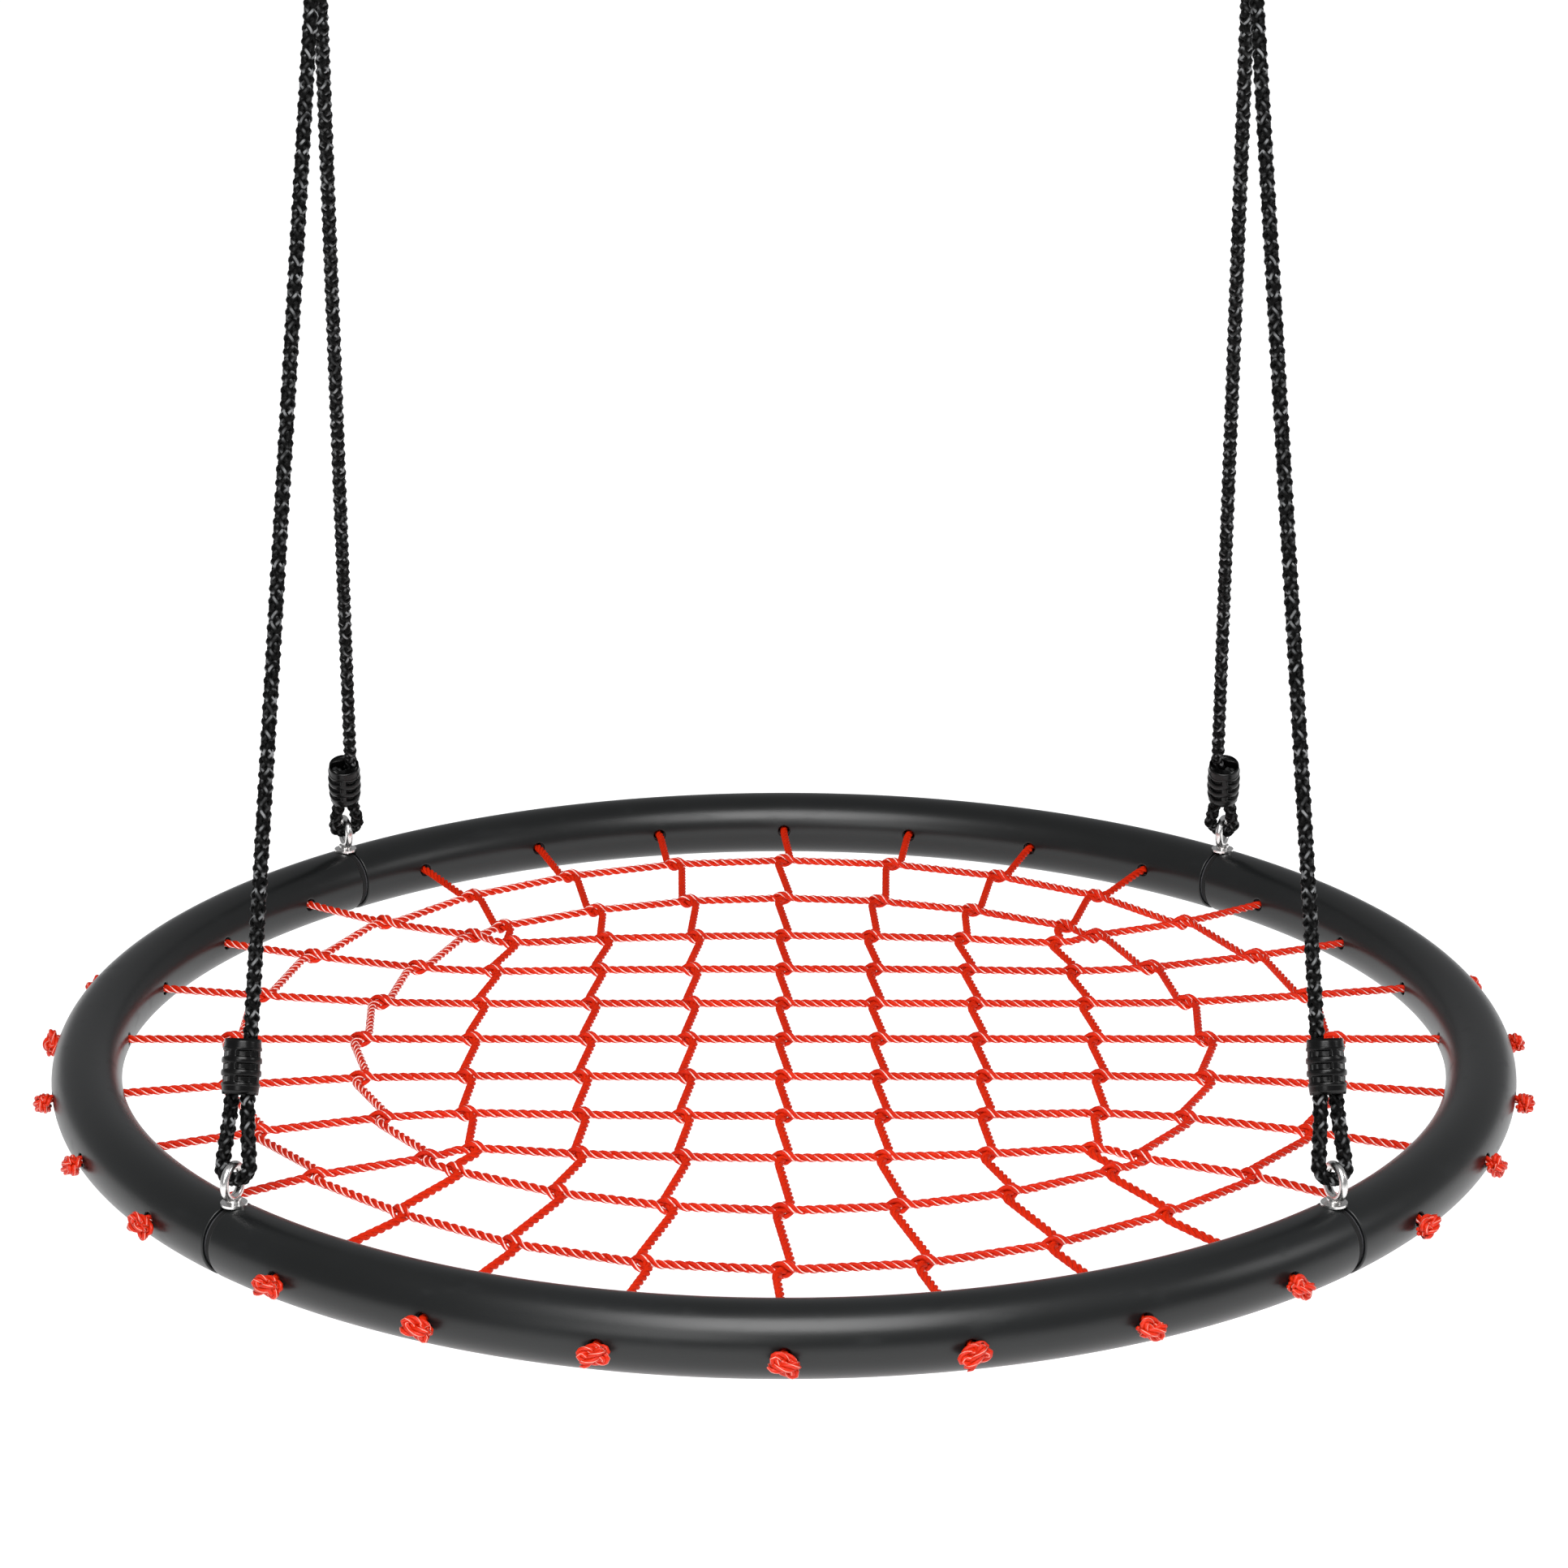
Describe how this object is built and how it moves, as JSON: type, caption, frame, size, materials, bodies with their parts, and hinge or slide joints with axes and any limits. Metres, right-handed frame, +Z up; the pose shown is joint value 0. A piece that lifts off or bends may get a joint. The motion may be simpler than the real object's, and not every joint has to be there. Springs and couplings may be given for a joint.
{
  "type": "rope net swing",
  "caption": "Round swing: a padded tube ring in four quarters carries a knotted rope net and hangs from two carabiners on braided ropes with adjusters.",
  "frame": {"origin": "midway between the two points where the carabiners bear on their hooks", "axes": "+Z up, +X the rider's right hand along the line between the two hooks, -Y the front"},
  "size_m": [1.0426, 1.0426, 0.8943],
  "materials": {
    "cover_plastic": "satin",
    "padding_foam": "matt closed-cell foam",
    "core_steel": "galvanised",
    "band_rubber": "satin",
    "bolt_zinc": "bright zinc plated",
    "net_rope": "twisted polyethylene, glossy",
    "hanging_rope": "braided polyester, satin",
    "adjuster_plastic": "moulded gloss",
    "hanger_steel": "zinc plated"
  },
  "bodies": {
    "hangers": {"carabiner_left": "hanger_steel", "carabiner_right": "hanger_steel", "gate_pins": "hanger_steel"},
    "swing_links": {"top_ring_left": "hanger_steel", "top_ring_right": "hanger_steel"},
    "left_rope": {"hanging_rope_left": "hanging_rope"},
    "right_rope": {"hanging_rope_right": "hanging_rope"},
    "seat": {"cover_front": "cover_plastic", "padding_front": "padding_foam", "core_tube_front": "core_steel", "end_knots_front": "net_rope", "cover_right": "cover_plastic", "padding_right": "padding_foam", "core_tube_right": "core_steel", "end_knots_right": "net_rope", "cover_rear": "cover_plastic", "padding_rear": "padding_foam", "core_tube_rear": "core_steel", "end_knots_rear": "net_rope", "cover_left": "cover_plastic", "padding_left": "padding_foam", "core_tube_left": "core_steel", "end_knots_left": "net_rope", "coupler_front_right": "core_steel", "eyebolt_front_right": "bolt_zinc", "coupler_rear_right": "core_steel", "eyebolt_rear_right": "bolt_zinc", "coupler_rear_left": "core_steel", "eyebolt_rear_left": "bolt_zinc", "coupler_front_left": "core_steel", "eyebolt_front_left": "bolt_zinc", "seam_bands": "band_rubber", "eye_washers": "bolt_zinc", "eye_nuts": "bolt_zinc", "net_cross_rope_1": "net_rope", "net_long_rope_1": "net_rope", "net_cross_rope_2": "net_rope", "net_long_rope_2": "net_rope", "net_cross_rope_3": "net_rope", "net_long_rope_3": "net_rope", "net_cross_rope_4": "net_rope", "net_long_rope_4": "net_rope", "net_cross_rope_5": "net_rope", "net_long_rope_5": "net_rope", "net_cross_rope_6": "net_rope", "net_long_rope_6": "net_rope", "net_cross_rope_7": "net_rope", "net_long_rope_7": "net_rope", "net_outer_loop": "net_rope", "net_inner_loop": "net_rope", "net_loop_splices": "net_rope", "net_grid_splices": "net_rope"},
    "gate_left": {"gate_left": "hanger_steel"},
    "gate_right": {"gate_right": "hanger_steel"},
    "adjuster_front_right": {"adjuster_front_right": "adjuster_plastic"},
    "adjuster_rear_right": {"adjuster_rear_right": "adjuster_plastic"},
    "adjuster_rear_left": {"adjuster_rear_left": "adjuster_plastic"},
    "adjuster_front_left": {"adjuster_front_left": "adjuster_plastic"}
  },
  "joints": [
    {"name": "fore_aft_swing", "type": "hinge", "parent": "hangers", "child": "swing_links", "pos_m": [0, 0, -0.05963], "axis": [1, 0, 0], "range_deg": [-50, 50]},
    {"name": "side_sway", "type": "hinge", "parent": "swing_links", "child": "left_rope", "pos_m": [-0.30206, 0, -0.08061], "axis": [0, 1, 0], "range_deg": [-7, 7]},
    {"name": "seat_level", "type": "hinge", "parent": "left_rope", "child": "seat", "pos_m": [-0.34126, 0, -0.8134], "axis": [0, 1, 0], "range_deg": [-8, 8]},
    {"name": "right_rope_sway", "type": "hinge", "parent": "swing_links", "child": "right_rope", "pos_m": [0.30206, 0, -0.08061], "axis": [0, 1, 0], "range_deg": [-8, 8]},
    {"name": "adjuster_front_right_slide", "type": "slide", "parent": "right_rope", "child": "adjuster_front_right", "axis": [-0.0425, 0.4209, 0.9061], "range_m": [0, 0.02]},
    {"name": "adjuster_rear_right_slide", "type": "slide", "parent": "right_rope", "child": "adjuster_rear_right", "axis": [-0.0425, -0.4209, 0.9061], "range_m": [0, 0.02]},
    {"name": "adjuster_rear_left_slide", "type": "slide", "parent": "left_rope", "child": "adjuster_rear_left", "axis": [0.0425, -0.4209, 0.9061], "range_m": [0, 0.02]},
    {"name": "adjuster_front_left_slide", "type": "slide", "parent": "left_rope", "child": "adjuster_front_left", "axis": [0.0425, 0.4209, 0.9061], "range_m": [0, 0.02]},
    {"name": "gate_left_hinge", "type": "hinge", "parent": "hangers", "child": "gate_left", "pos_m": [-0.30039, 0.016, -0.04495], "axis": [0.9989, 0, -0.0469], "range_deg": [0, 25], "stiffness_Nm_per_rad": 0.05, "springref_deg": -11.46},
    {"name": "gate_right_hinge", "type": "hinge", "parent": "hangers", "child": "gate_right", "pos_m": [0.30039, 0.016, -0.04495], "axis": [0.9989, 0, 0.0469], "range_deg": [0, 25], "stiffness_Nm_per_rad": 0.05, "springref_deg": -11.46}
  ],
  "couplings": [
    {"joint": "seat_level", "follows": "side_sway", "ratio": -0.88514},
    {"joint": "right_rope_sway", "follows": "side_sway", "ratio": 1}
  ]
}
